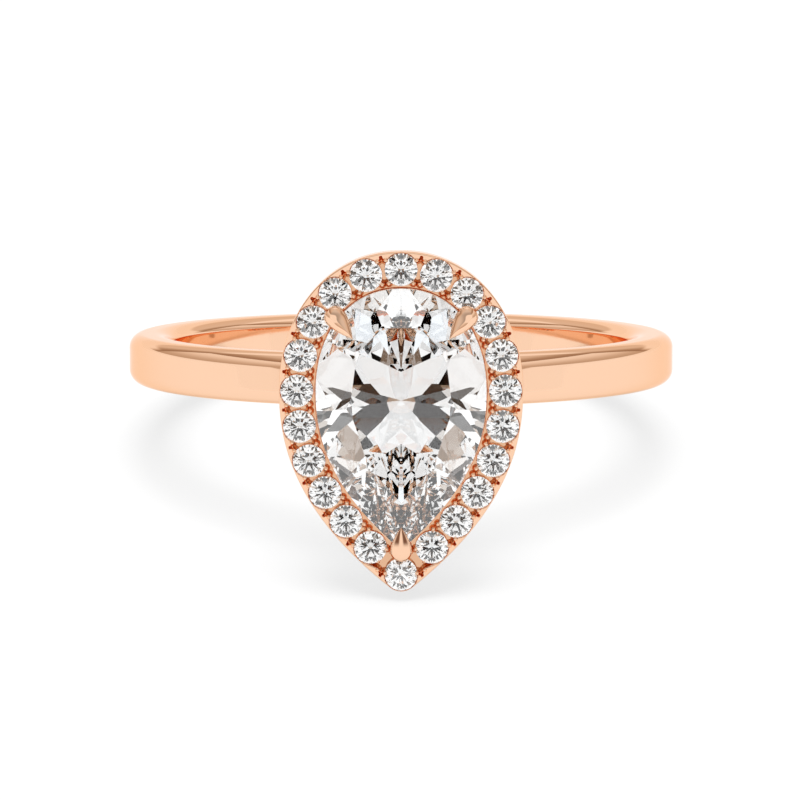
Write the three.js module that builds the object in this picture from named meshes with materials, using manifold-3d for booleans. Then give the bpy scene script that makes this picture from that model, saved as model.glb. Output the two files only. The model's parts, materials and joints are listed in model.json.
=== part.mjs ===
// Pear halo engagement ring: a plain rose-gold band, a pear centre stone held by
// three teardrop claws, and a halo plate carrying 22 round stones.
// Millimetres, +Z up. The ring lies on its side at rest: the tip of the pear halo
// and the back edge of the band touch the ground.
import * as THREE from 'three';
import { mergeVertices } from 'three/addons/utils/BufferGeometryUtils.js';
import Module from 'manifold-3d';

const wasm = await Module();
wasm.setup();

// ---- driving dimensions (mm) ----
// band
const BAND_OUTER_R = 10.0;      // outside radius
const BAND_INNER_R = 8.4;       // finger hole radius
const BAND_HALF_W = 0.9;        // half the band's width along the finger
const BAND_FACE_HALF = 0.45;    // half the straight part of the outer face
const BAND_EDGE_R = 0.45;       // rounding between outer face and side
const BAND_SIDE_R = 9.15;       // where the flat side ends and the comfort rounding starts
const BAND_BORE_HALF = 0.5;     // half the straight part of the finger hole wall
const BAND_STEPS = 80;

// pear path that the halo stones' centres follow (u across, v along the finger)
const PATH_CY = -0.06;          // height of the widest point
const PATH_A = 3.46;            // half width
const PATH_TOP = 4.06;          // rise above the widest point
const PATH_TIP = 6.1;           // drop below the widest point
const PATH_TOP_POWER = 2.12;
const PATH_TIP_POWER = 2.2;

// halo
const HALO_FACE = 12.8;         // distance of the halo's top face from the finger axis
const HALO_THICK = 1.2;
const HALO_OUT = 0.59;          // path to outer wall
const HALO_IN = 0.66;           // path to the opening round the centre stone
const HALO_STONES = 22;
const HALO_PITCH = 1.19;
const HALO_LAST_V = -6.17;      // the stone at the tip
const ROUND_R = 0.55;           // halo stone radius
const SEAT_R = 0.56;
const SEAT_DEPTH = 0.5;
const SEAT_HOLE_R = 0.18;
const BEAD_R = 0.13;
const BEAD_TOP = 0.19;          // bead height above the plate
const NOTCH_W = 0.12;

// stones
const GIRDLE_GAP = 0.05;        // girdle above its seat
const ROUND_GIRDLE = 0.03;
const ROUND_CROWN = 0.17;
const ROUND_PAVILION = 0.47;
const ROUND_TABLE = 0.57;       // table as a share of the diameter
const PEAR_IN = 0.63;           // path to the centre stone's girdle
const PEAR_GIRDLE = 0.12;
const PEAR_CROWN = 0.85;
const PEAR_PAVILION = 2.4;
const PEAR_TABLE = 0.58;

// basket
const RAIL_SCALE = 0.66;        // gallery rail as a share of the girdle outline
const RAIL_HALF = 0.3;          // half its width
const RAIL_LOW = 10.95;
const RAIL_HIGH = 11.35;
const BASE_SCALE = 0.4;         // base collar as a share of the girdle outline
const BASE_HALF = 0.28;
const BASE_LOW = 9.72;
const BASE_HIGH = 10.5;
const CLAW_WIRE_R = 0.21;
const CLAW_PAD_R = 0.34;
const CLAW_PAD_LENGTH = 1.0;    // from the middle of the pad to its point
const CLAW_PAD_T = 0.24;
const STRUT_R = 0.2;
const CLEAR = 0.02;             // gap kept between neighbouring pieces

// ---- helpers ----
const solidOf = (geometry) => {
  const g = geometry.clone();
  g.deleteAttribute('normal');
  g.deleteAttribute('uv');
  const m = mergeVertices(g, 1e-5);
  return new wasm.Manifold(new wasm.Mesh({
    numProp: 3,
    vertProperties: new Float32Array(m.attributes.position.array),
    triVerts: new Uint32Array(m.index.array),
  }));
};

const geometryOf = (solid) => {
  const m = solid.asOriginal().simplify(0.002).getMesh();
  const g = new THREE.BufferGeometry();
  const n = m.numProp;
  const p = new Float32Array((m.vertProperties.length / n) * 3);
  for (let i = 0; i < p.length / 3; i++) {
    p[3 * i] = m.vertProperties[n * i];
    p[3 * i + 1] = m.vertProperties[n * i + 1];
    p[3 * i + 2] = m.vertProperties[n * i + 2];
  }
  g.setAttribute('position', new THREE.BufferAttribute(p, 3));
  g.setIndex(new THREE.BufferAttribute(new Uint32Array(m.triVerts), 1));
  return g;
};

// ---- pear outlines ----
// right half of the path, from the top to the tip, as dense points with outward normals
const halfPath = () => {
  const pts = [];
  const n = 240;
  for (let i = 0; i <= n; i++) {
    const a = Math.PI / 2 * (1 - i / n);
    const s = Math.sin(a), c = Math.cos(a);
    pts.push(new THREE.Vector2(
      PATH_A * Math.pow(c, 2 / PATH_TOP_POWER),
      PATH_CY + PATH_TOP * Math.pow(s, 2 / PATH_TOP_POWER)));
  }
  for (let i = 1; i <= n; i++) {
    const s = i / n;
    pts.push(new THREE.Vector2(PATH_A * (1 - Math.pow(s, PATH_TIP_POWER)), PATH_CY - PATH_TIP * s));
  }
  return pts;
};
const PATH = halfPath();
const ARC = [0];
for (let i = 1; i < PATH.length; i++) ARC.push(ARC[i - 1] + PATH[i].distanceTo(PATH[i - 1]));
const pathAt = (len) => {
  let i = 1;
  while (i < ARC.length - 1 && ARC[i] < len) i++;
  const t = (len - ARC[i - 1]) / (ARC[i] - ARC[i - 1]);
  const p = PATH[i - 1].clone().lerp(PATH[i], t);
  const d = PATH[i].clone().sub(PATH[i - 1]).normalize();
  return { p, n: new THREE.Vector2(-d.y, d.x).multiplyScalar(-1).multiplyScalar(-1) };
};
// outward normal of a direction that runs clockwise from top to tip on the right side
const outward = (d) => new THREE.Vector2(-d.y, d.x);

const offsetHalf = (distance, steps) => {
  const out = [];
  const total = ARC[ARC.length - 1];
  for (let i = 0; i <= steps; i++) {
    const len = total * i / steps;
    const { p, d } = pointDir(len);
    const q = p.clone().add(outward(d).multiplyScalar(distance));
    if (i === 0) q.x = 0;
    out.push(q);
  }
  if (distance > 0) {
    const { p, d } = pointDir(total);
    const n = outward(d);
    const a0 = Math.atan2(n.y, n.x), a1 = -Math.PI / 2;
    for (let i = 1; i <= 4; i++) {
      const a = a0 + (a1 - a0) * i / 4;
      out.push(new THREE.Vector2(p.x + distance * Math.cos(a), p.y + distance * Math.sin(a)));
    }
    out[out.length - 1].x = 0;
  } else {
    while (out.length > 2 && out[out.length - 1].x <= 0) {
      if (out[out.length - 2].x <= 0) { out.pop(); continue; }
      const a = out[out.length - 2], b = out[out.length - 1];
      const t = a.x / (a.x - b.x);
      out[out.length - 1] = new THREE.Vector2(0, a.y + (b.y - a.y) * t);
      break;
    }
  }
  return out;
};
function pointDir(len) {
  let i = 1;
  while (i < ARC.length - 1 && ARC[i] < len) i++;
  const t = Math.min(1, (len - ARC[i - 1]) / (ARC[i] - ARC[i - 1]));
  const p = PATH[i - 1].clone().lerp(PATH[i], t);
  const d = PATH[i].clone().sub(PATH[i - 1]).normalize();
  return { p, d: new THREE.Vector2(d.x, d.y) };
}
// closed outline, counter-clockwise
const outline = (distance, steps = 40) => {
  const half = offsetHalf(distance, steps);
  const left = half.slice(1, -1).map((p) => new THREE.Vector2(-p.x, p.y));
  return [...left, half[half.length - 1], ...half.slice(1, -1).reverse(), half[0]];
};
const scaled = (pts, s, cy = PATH_CY) => pts.map((p) => new THREE.Vector2(p.x * s, cy + (p.y - cy) * s));

// outline moved in or out by its own normals
const grown = (pts, distance) => pts.map((p, i) => {
  const a = pts[(i + pts.length - 1) % pts.length], b = pts[(i + 1) % pts.length];
  const d1 = p.clone().sub(a).normalize(), d2 = b.clone().sub(p).normalize();
  const n = new THREE.Vector2(d1.y + d2.y, -(d1.x + d2.x)).normalize();
  const k = Math.max(0.5, n.x * d1.y - n.y * d1.x);
  return p.clone().add(n.multiplyScalar(distance / k));
});

// ring-shaped plate between two outlines, from w0 to w1
const plateOf = (outer, inner, w0, w1) => {
  const shape = new THREE.Shape(outer);
  if (inner) shape.holes.push(new THREE.Path([...inner].reverse()));
  const g = new THREE.ExtrudeGeometry(shape, { depth: w1 - w0, bevelEnabled: false, steps: 1, curveSegments: 1 });
  g.translate(0, 0, w0);
  return solidOf(g);
};

// ---- band ----
const bandProfile = (grow = 0) => {
  const R = BAND_OUTER_R + grow, W = BAND_HALF_W + grow, r = BAND_EDGE_R + grow, bore = BAND_INNER_R - grow;
  const pts = [];
  const right = [];
  // upper half, from the outer face inwards
  for (let i = 0; i <= 4; i++) {
    const a = Math.PI / 2 * i / 4;
    right.push([BAND_OUTER_R - BAND_EDGE_R + r * Math.cos(a), BAND_FACE_HALF + r * Math.sin(a)]);
  }
  for (let i = 0; i <= 4; i++) {
    const a = Math.PI / 2 * i / 4;
    right.push([BAND_SIDE_R - (BAND_SIDE_R - bore) * Math.sin(a), BAND_BORE_HALF + (W - BAND_BORE_HALF) * Math.cos(a)]);
  }
  for (const [x, z] of right) pts.push(new THREE.Vector2(x, z));
  for (const [x, z] of right.slice().reverse()) pts.push(new THREE.Vector2(x, -z));
  pts.push(pts[0].clone());
  return { pts, R };
};
const band = (grow = 0) => {
  const { pts } = bandProfile(grow);
  const g = new THREE.LatheGeometry(pts, BAND_STEPS);
  g.rotateX(Math.PI / 2);       // lathe axis Y becomes the finger axis Z
  let s = solidOf(g);
  if (s.volume() < 0) {
    const idx = g.index.array;
    for (let i = 0; i < idx.length; i += 3) { const t = idx[i]; idx[i] = idx[i + 1]; idx[i + 1] = t; }
    s = solidOf(g);
  }
  return s;
};

// ---- round stones ----
// facets are planes through known heights; a cone-and-table blank is trimmed by them
const roundStone = () => {
  const r = ROUND_R, gTop = ROUND_GIRDLE;
  const blank = new THREE.CylinderGeometry(r, r, ROUND_GIRDLE + ROUND_CROWN + ROUND_PAVILION, 16);
  blank.rotateX(Math.PI / 2);
  blank.translate(0, 0, (ROUND_GIRDLE + ROUND_CROWN - ROUND_PAVILION) / 2);
  let s = solidOf(blank);
  const tableR = r * ROUND_TABLE;
  const crown = Math.atan2(ROUND_CROWN, r - tableR);
  const pav = Math.atan2(ROUND_PAVILION, r);
  for (let i = 0; i < 8; i++) {
    const a = Math.PI / 4 * i;
    const up = new THREE.Vector3(Math.cos(a) * Math.sin(crown), Math.sin(a) * Math.sin(crown), Math.cos(crown));
    const down = new THREE.Vector3(Math.cos(a) * Math.sin(pav), Math.sin(a) * Math.sin(pav), -Math.cos(pav));
    s = s.trimByPlane([-up.x, -up.y, -up.z], -(up.x * r * Math.cos(a) + up.y * r * Math.sin(a) + up.z * gTop));
    s = s.trimByPlane([-down.x, -down.y, -down.z], -(down.x * r * Math.cos(a) + down.y * r * Math.sin(a)));
  }
  return s;
};

// ---- centre stone ----
// girdle outline, table and keel joined as a convex body
const pearOutline = () => outline(-PEAR_IN, 26);
const pearStone = (grow = 0) => {
  const w0 = HALO_FACE + GIRDLE_GAP, w1 = w0 + PEAR_GIRDLE;
  let s = plateOf(grow ? grown(pearOutline(), grow) : pearOutline(), null, w0 - PEAR_PAVILION - grow, w1 + PEAR_CROWN + grow);
  const girdle = pearOutline();
  const keelTop = PATH_CY + 0.5, keelTip = PATH_CY - 0.35;
  const n = girdle.length;
  for (let k = 0; k < 24; k++) {
    const i = Math.round(n * k / 24) % n;
    const p = girdle[i], a = girdle[(i + n - 1) % n], b = girdle[(i + 1) % n];
    const d = b.clone().sub(a).normalize();
    const nrm = new THREE.Vector2(d.y, -d.x);
    // run from the girdle to the table edge and to the keel along this facet's normal
    const keel = new THREE.Vector2(0, THREE.MathUtils.clamp(p.y * 0.2, keelTip, keelTop));
    const runDown = nrm.dot(p.clone().sub(keel));
    const tab = new THREE.Vector2(p.x * PEAR_TABLE, PATH_CY + (p.y - PATH_CY) * PEAR_TABLE);
    const runUp = nrm.dot(p.clone().sub(tab));
    const down = new THREE.Vector3(nrm.x * PEAR_PAVILION, nrm.y * PEAR_PAVILION, -runDown).normalize();
    const up = new THREE.Vector3(nrm.x * PEAR_CROWN, nrm.y * PEAR_CROWN, runUp).normalize();
    s = s.trimByPlane([-down.x, -down.y, -down.z], -(down.x * p.x + down.y * p.y + down.z * w0) - grow);
    s = s.trimByPlane([-up.x, -up.y, -up.z], -(up.x * p.x + up.y * p.y + up.z * w1) - grow);
  }
  return s;
};

// ---- claws ----
// direction is the plan direction from the stone's middle to the claw
const clawAt = (top, inwards, grow = 0) => {
  const w = HALO_FACE + GIRDLE_GAP + PEAR_GIRDLE;
  const foot = new THREE.Vector3(top.x * BASE_SCALE * 1.02, PATH_CY + (top.y - PATH_CY) * BASE_SCALE * 1.02, BASE_HIGH + CLEAR - grow);
  const mid = new THREE.Vector3(top.x * 0.74, PATH_CY + (top.y - PATH_CY) * 0.74, 11.35);
  const high = new THREE.Vector3(top.x, top.y, w - 0.45);
  const end = new THREE.Vector3(top.x, top.y, w + 0.2);
  const curve = new THREE.CatmullRomCurve3([foot, mid, high, end], false, 'centripetal');
  const ring = new THREE.Shape();
  const R = CLAW_WIRE_R + grow;
  for (let i = 0; i < 8; i++) {
    const a = Math.PI / 4 * i;
    if (i) ring.lineTo(R * Math.cos(a), R * Math.sin(a)); else ring.moveTo(R, 0);
  }
  ring.closePath();
  const wire = solidOf(new THREE.ExtrudeGeometry(ring, { steps: 12, bevelEnabled: false, extrudePath: curve }));
  if (grow) return wire;
  // teardrop pad: round at the back, drawn to a point over the stone
  const pad = new THREE.Shape();
  const pr = CLAW_PAD_R;
  pad.moveTo(CLAW_PAD_LENGTH, 0);
  pad.quadraticCurveTo(0.55, 0.16, 0.2, pr * 0.93);
  for (let i = 1; i <= 8; i++) {
    const a = THREE.MathUtils.degToRad(60 + 240 * i / 8);
    pad.lineTo(pr * Math.cos(a), pr * Math.sin(a));
  }
  pad.lineTo(0.2, -pr * 0.93);
  pad.quadraticCurveTo(0.55, -0.16, CLAW_PAD_LENGTH, 0);
  const pg = new THREE.ExtrudeGeometry(pad, { depth: CLAW_PAD_T, bevelEnabled: false, curveSegments: 3 });
  pg.rotateZ(Math.atan2(inwards.y, inwards.x));
  pg.translate(top.x, top.y, w + 0.06);
  let p = solidOf(pg);
  // the pad slopes down to the crown facet at its point
  const s = new THREE.Vector3(inwards.x * 0.32, inwards.y * 0.32, 1).normalize();
  const at = w + 0.06 + CLAW_PAD_T;
  p = p.trimByPlane([-s.x, -s.y, -s.z], -(s.x * top.x + s.y * top.y + s.z * at));
  return wire.add(p);
};

// ---- build ----
const rose = () => new THREE.MeshStandardMaterial({ color: 0xe6ab86, metalness: 1, roughness: 0.12 });
const diamond = () => new THREE.MeshStandardMaterial({ color: 0xf4f4f2, metalness: 0, roughness: 0.02 });

const ring = new THREE.Group();                 // finger axis along Z, head towards -Y
const head = new THREE.Group();                 // u, v, w: w points out of the stone
head.rotation.x = Math.PI / 2;
ring.add(head);

const put = (parent, name, solid, material) => {
  const mesh = new THREE.Mesh(geometryOf(solid), material);
  mesh.name = name;
  parent.add(mesh);
  return mesh;
};

// halo stone places: right side first from the top, then the tip, then back up the left
const places = [];
for (let i = 0; i <= 10; i++) {
  const { p, d } = pointDir(HALO_PITCH * i);
  places.push({ p, n: outward(d) });
}
places[0].n.set(0, 1);
places.push({ p: new THREE.Vector2(0, HALO_LAST_V), n: new THREE.Vector2(0, -1) });
for (let i = 10; i >= 1; i--) {
  places.push({ p: new THREE.Vector2(-places[i].p.x, places[i].p.y), n: new THREE.Vector2(-places[i].n.x, places[i].n.y) });
}

// claws sit over the gaps between the third and fourth stones, and at the tip
const upper = pointDir(HALO_PITCH * 2.5);
const upperN = outward(upper.d);
const clawTops = {
  claw_upper_right: new THREE.Vector2(upper.p.x - upperN.x * 0.52, upper.p.y - upperN.y * 0.52),
  claw_upper_left: new THREE.Vector2(-(upper.p.x - upperN.x * 0.52), upper.p.y - upperN.y * 0.52),
  claw_tip: new THREE.Vector2(0, -5.36),
};
const clawIn = (t) => new THREE.Vector2(-t.x, -t.y - 0.1).normalize();

const shankSolid = band();
put(ring, 'shank', shankSolid, rose());

// halo plate: walls, seats, notches, beads and claw cut-outs
let plate = plateOf(outline(HALO_OUT, 30), outline(-HALO_IN, 30), HALO_FACE - HALO_THICK, HALO_FACE);
// one turned cutter: a cone under the stone that runs into a straight hole
const cutter = new THREE.LatheGeometry([
  new THREE.Vector2(0, -HALO_THICK - 0.3),
  new THREE.Vector2(SEAT_HOLE_R, -HALO_THICK - 0.3),
  new THREE.Vector2(SEAT_HOLE_R, -SEAT_DEPTH),
  new THREE.Vector2(SEAT_R + (SEAT_R - SEAT_HOLE_R) * 0.2, SEAT_DEPTH * 0.2),
  new THREE.Vector2(0, SEAT_DEPTH * 0.2),
], 12);
cutter.rotateX(Math.PI / 2);
const seat = solidOf(cutter);
const bead = new THREE.CylinderGeometry(BEAD_R * 0.5, BEAD_R, BEAD_TOP + 0.1, 5);
bead.rotateX(Math.PI / 2);
bead.translate(0, 0, (BEAD_TOP - 0.1) / 2);
const beadSolid = solidOf(bead);
const vee = new THREE.Shape([new THREE.Vector2(-NOTCH_W / 2, 0.05), new THREE.Vector2(0, -0.22), new THREE.Vector2(NOTCH_W / 2, 0.05)]);

for (const { p } of places) plate = plate.subtract(seat.translate([p.x, p.y, HALO_FACE]));
for (let i = 0; i < HALO_STONES; i++) {
  const a = places[i], b = places[(i + 1) % HALO_STONES];
  const m = a.p.clone().add(b.p).multiplyScalar(0.5);
  const n = a.n.clone().add(b.n).normalize();
  const at = (d) => [m.x + n.x * d, m.y + n.y * d, HALO_FACE];
  const g = new THREE.ExtrudeGeometry(vee, { depth: 0.5, bevelEnabled: false });
  g.rotateX(Math.PI / 2);                          // depth runs along -Y, section in X and Z
  g.translate(0, 0.5, 0);
  g.rotateZ(Math.atan2(n.y, n.x) - Math.PI / 2);
  g.translate(m.x + n.x * 0.42, m.y + n.y * 0.42, HALO_FACE);
  plate = plate.subtract(solidOf(g));
  plate = plate.add(beadSolid.translate(at(0.34)));
  const clawGap = i === 2 || i === 19 || i === 10 || i === 11;
  if (!clawGap) plate = plate.add(beadSolid.translate(at(-0.42)));
}
const pear = pearStone();
const pearRoom = pearStone(CLEAR);
const clawSolids = {};
for (const [name, t] of Object.entries(clawTops)) {
  plate = plate.subtract(clawAt(t, clawIn(t), CLEAR));
  clawSolids[name] = clawAt(t, clawIn(t));
}

// round stones
const round = roundStone();
const roundW = HALO_FACE + GIRDLE_GAP;
places.forEach(({ p }, i) => {
  const a = Math.atan2(p.x, p.y);
  const s = round.rotate([0, 0, THREE.MathUtils.radToDeg(-a)]).translate([p.x, p.y, roundW]);
  put(head, `halo_stone_${String(i + 1).padStart(2, '0')}`, s, diamond());
  places[i].room = [p.x, p.y];
});
// room for a round stone, a little larger than it
const roomCyl = new THREE.CylinderGeometry(ROUND_R + CLEAR, ROUND_R + CLEAR, ROUND_GIRDLE + ROUND_CROWN + 2 * CLEAR, 16);
roomCyl.rotateX(Math.PI / 2);
roomCyl.translate(0, 0, (ROUND_GIRDLE + ROUND_CROWN) / 2);
const roomSolid = solidOf(roomCyl);
for (const name of Object.keys(clawSolids)) {
  let c = clawSolids[name].subtract(pearRoom);
  for (const { p } of places) {
    if (p.distanceTo(clawTops[name]) < 1.6) c = c.subtract(roomSolid.translate([p.x, p.y, roundW]));
  }
  clawSolids[name] = c;
}

// gallery rail and base collar
const girdle = outline(-PEAR_IN, 30);
const railMid = scaled(girdle, RAIL_SCALE);
const railOf = (grow) => plateOf(grown(railMid, RAIL_HALF + grow), grown(railMid, -RAIL_HALF - grow), RAIL_LOW - grow, RAIL_HIGH + grow);
let rail = railOf(0).subtract(pearRoom);
const baseMid = scaled(girdle, BASE_SCALE);
let base = plateOf(grown(baseMid, BASE_HALF), grown(baseMid, -BASE_HALF), BASE_LOW, BASE_HIGH).subtract(pearRoom);
const bandRoom = band(CLEAR).rotate([-90, 0, 0]);   // ring frame to head frame
base = base.subtract(bandRoom);
for (const [name, t] of Object.entries(clawTops)) {
  const grownWire = clawAt(t, clawIn(t), CLEAR);
  rail = rail.subtract(grownWire);
}

// struts from the rail out to the underside of the halo plate
const plateRoom = plateOf(outline(HALO_OUT + CLEAR, 30), outline(-HALO_IN - CLEAR, 30), HALO_FACE - HALO_THICK - CLEAR, HALO_FACE + 1);
const railRoom = railOf(CLEAR);
const strutAngles = { strut_top: 0, strut_right: 4.6, strut_left: -4.6, strut_lower_right: 8.2, strut_lower_left: -8.2 };
const struts = {};
for (const [name, k] of Object.entries(strutAngles)) {
  const { p, d } = pointDir(HALO_PITCH * Math.abs(k));
  const n = outward(d);
  const sx = k < 0 ? -1 : 1;
  const outerEnd = new THREE.Vector3(sx * (p.x - n.x * 0.25), p.y - n.y * 0.25, HALO_FACE - HALO_THICK + 0.25);
  const g2 = new THREE.Vector2(p.x - n.x * PEAR_IN, p.y - n.y * PEAR_IN);
  const innerEnd = new THREE.Vector3(sx * g2.x * RAIL_SCALE, PATH_CY + (g2.y - PATH_CY) * RAIL_SCALE, (RAIL_LOW + RAIL_HIGH) / 2);
  const axis = outerEnd.clone().sub(innerEnd);
  const g = new THREE.CylinderGeometry(STRUT_R, STRUT_R, axis.length(), 8);
  g.applyQuaternion(new THREE.Quaternion().setFromUnitVectors(new THREE.Vector3(0, 1, 0), axis.clone().normalize()));
  const mid = outerEnd.clone().add(innerEnd).multiplyScalar(0.5);
  g.translate(mid.x, mid.y, mid.z);
  struts[name] = solidOf(g).subtract(plateRoom).subtract(railRoom).subtract(pearRoom);
}

put(head, 'halo_plate', plate, rose());
put(head, 'gallery_rail', rail, rose());
put(head, 'base_collar', base, rose());
for (const [name, s] of Object.entries(struts)) put(head, name, s, rose());
for (const [name, s] of Object.entries(clawSolids)) put(head, name, s, rose());
put(head, 'centre_stone', pear, diamond());

// ---- rest pose: lean the ring on the halo's tip and the back edge of the band ----
const lowest = (solidMesh, rot, tilt) => {
  const pos = solidMesh.geometry.attributes.position;
  let low = Infinity;
  for (let i = 0; i < pos.count; i++) {
    let y = pos.getY(i), z = pos.getZ(i);
    if (rot) [y, z] = [-z, y];
    low = Math.min(low, -y * Math.sin(tilt) + z * Math.cos(tilt));
  }
  return low;
};
const shankMesh = ring.children.find((m) => m.name === 'shank');
const plateMesh = head.children.find((m) => m.name === 'halo_plate');
let lo = 0, hi = Math.PI / 4;
for (let i = 0; i < 60; i++) {
  const t = (lo + hi) / 2;
  if (lowest(plateMesh, true, t) < lowest(shankMesh, false, t)) lo = t; else hi = t;
}
const REST_TILT = (lo + hi) / 2;
const REST_HEIGHT = -lowest(shankMesh, false, REST_TILT);
ring.rotation.x = -REST_TILT;

const group = new THREE.Group();
group.add(ring);
group.updateMatrixWorld(true);
const box = new THREE.Box3().setFromObject(group, true);
ring.position.set(0, -(box.min.y + box.max.y) / 2, REST_HEIGHT);
group.updateMatrixWorld(true);

export default group;
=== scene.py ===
import math
import bpy
import numpy as np
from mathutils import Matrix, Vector
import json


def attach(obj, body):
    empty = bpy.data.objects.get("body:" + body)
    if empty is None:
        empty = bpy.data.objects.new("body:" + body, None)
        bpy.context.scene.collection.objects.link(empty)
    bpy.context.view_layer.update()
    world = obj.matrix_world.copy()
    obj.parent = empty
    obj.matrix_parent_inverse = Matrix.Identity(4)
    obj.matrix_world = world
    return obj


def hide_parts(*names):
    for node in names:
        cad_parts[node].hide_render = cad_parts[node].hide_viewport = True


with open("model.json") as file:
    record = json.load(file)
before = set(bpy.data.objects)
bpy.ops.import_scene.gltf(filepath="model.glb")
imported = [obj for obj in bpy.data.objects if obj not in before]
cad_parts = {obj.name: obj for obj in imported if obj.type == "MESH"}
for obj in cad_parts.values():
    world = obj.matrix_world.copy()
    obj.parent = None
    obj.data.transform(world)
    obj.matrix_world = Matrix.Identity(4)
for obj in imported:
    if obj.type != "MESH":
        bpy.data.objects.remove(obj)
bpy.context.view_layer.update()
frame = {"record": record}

MM = 0.001

# ------------------------------------------------------------------ design sizes (mm), as in the CAD source
BAND_R, BORE_R, HALF_W = 10.0, 8.4, 0.9
FACE_HALF, EDGE_R = 0.40, 0.50
SIDE_R, BORE_HALF = 9.15, 0.5
CY, PA, PTOP, PTIP, PWT, PWB = -0.06, 3.46, 4.06, 6.1, 2.12, 2.2
FACE, THICK = 12.8, 1.2
OUT, INN = 0.59, 0.66
PITCH, LAST_V = 1.19, -6.17
RR = 0.55
GGAP, RG, RCROWN, RPAV, RTABLE = 0.05, 0.03, 0.17, 0.47, 0.57
PIN, PG, PCROWN, PPAV, PTABLE = 0.63, 0.12, 0.85, 2.4, 0.58
RAIL_S, RAIL_H, RAIL_LO, RAIL_HI = 0.66, 0.30, 10.95, 11.35
BASE_S, BASE_H, BASE_LO, BASE_HI = 0.40, 0.28, 9.72, 10.5
WIRE_R, PAD_R, PAD_L, PAD_T = 0.21, 0.34, 1.0, 0.24

# ------------------------------------------------------------------ where the ring stands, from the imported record
mount = next(m for m in frame["record"]["mounts"] if m["name"] == "band_side_upper")
TILT = math.atan2(mount["axis"][1], mount["axis"][2])
CT, ST = math.cos(TILT), math.sin(TILT)
local = (0.0, 9.35, 0.9)
CENTRE = np.array([
    mount["pos_m"][0] / MM,
    mount["pos_m"][1] / MM - (local[1] * CT + local[2] * ST),
    mount["pos_m"][2] / MM - (-local[1] * ST + local[2] * CT),
])


def ring_to_world(p):
    """ring frame (finger axis Z, head towards -Y), mm -> world metres"""
    p = np.asarray(p, float)
    out = np.empty_like(p)
    out[..., 0] = p[..., 0] + CENTRE[0]
    out[..., 1] = p[..., 1] * CT + p[..., 2] * ST + CENTRE[1]
    out[..., 2] = -p[..., 1] * ST + p[..., 2] * CT + CENTRE[2]
    return out * MM


def head_to_world(p):
    """head frame (u, v, w): w points out of the centre stone, v along the finger"""
    p = np.asarray(p, float)
    return ring_to_world(np.stack([p[..., 0], -p[..., 2], p[..., 1]], -1))


# ------------------------------------------------------------------ mesh helpers
def add_mesh(name, verts, faces, material, smooth=None):
    me = bpy.data.meshes.new(name)
    me.from_pydata([tuple(v) for v in verts], [], [tuple(f) for f in faces])
    me.validate()
    me.update()
    if smooth is None:
        for p in me.polygons:
            p.use_smooth = False
    else:
        me.shade_smooth()
        me.set_sharp_from_angle(angle=math.radians(smooth))
    ob = bpy.data.objects.new(name, me)
    bpy.context.scene.collection.objects.link(ob)
    me.materials.append(material)
    return ob


def add_grid(name, pts, material, close_u=True, close_v=True, smooth=35, flip=False, caps=()):
    """pts: (nu, nv, 3) world points; a closed sheet of quads"""
    nu, nv = pts.shape[:2]
    iu = np.arange(nu if close_u else nu - 1)
    iv = np.arange(nv if close_v else nv - 1)
    a, b = np.meshgrid(iu, iv, indexing="ij")
    a, b = a.ravel(), b.ravel()
    a1, b1 = (a + 1) % nu, (b + 1) % nv
    q = np.stack([a * nv + b, a1 * nv + b, a1 * nv + b1, a * nv + b1], 1)
    if flip:
        q = q[:, ::-1]
    n = len(q)
    me = bpy.data.meshes.new(name)
    me.vertices.add(nu * nv)
    me.vertices.foreach_set("co", pts.reshape(-1).astype(np.float32))
    extra = [list(c) for c in caps]
    total = n * 4 + sum(len(c) for c in extra)
    me.loops.add(total)
    me.polygons.add(n + len(extra))
    loops = np.concatenate([q.ravel()] + [np.array(c) for c in extra]) if extra else q.ravel()
    starts = list(range(0, 4 * n, 4))
    s = 4 * n
    for c in extra:
        starts.append(s)
        s += len(c)
    me.loops.foreach_set("vertex_index", loops.astype(np.int32))
    me.polygons.foreach_set("loop_start", np.array(starts, np.int32))
    me.update(calc_edges=True)
    me.validate()
    me.shade_smooth()
    if smooth:
        me.set_sharp_from_angle(angle=math.radians(smooth))
    ob = bpy.data.objects.new(name, me)
    bpy.context.scene.collection.objects.link(ob)
    me.materials.append(material)
    return ob


# ------------------------------------------------------------------ pear path
def dense_half(n=1200):
    a = math.pi / 2 * (1 - np.arange(n + 1) / n)
    s, c = np.sin(a), np.clip(np.cos(a), 0, 1)
    top = np.stack([PA * c ** (2 / PWT), CY + PTOP * s ** (2 / PWT)], 1)
    t = np.arange(1, n + 1) / n
    low = np.stack([PA * (1 - t ** PWB), CY - PTIP * t], 1)
    return np.concatenate([top, low])


HALF = dense_half()
SEG = np.linalg.norm(np.diff(HALF, axis=0), axis=1)
ARC = np.concatenate([[0], np.cumsum(SEG)])
TOTAL = ARC[-1]


def point_dir(length):
    length = np.atleast_1d(np.asarray(length, float))
    x = np.interp(length, ARC, HALF[:, 0])
    y = np.interp(length, ARC, HALF[:, 1])
    e = 0.004
    lo, hi = np.clip(length - e, 0, TOTAL), np.clip(length + e, 0, TOTAL)
    dx = np.interp(hi, ARC, HALF[:, 0]) - np.interp(lo, ARC, HALF[:, 0])
    dy = np.interp(hi, ARC, HALF[:, 1]) - np.interp(lo, ARC, HALF[:, 1])
    d = np.stack([dx, dy], 1)
    d /= np.linalg.norm(d, axis=1, keepdims=True)
    return np.stack([x, y], 1), d


def outward(d):
    return np.stack([-d[..., 1], d[..., 0]], -1)


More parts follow.
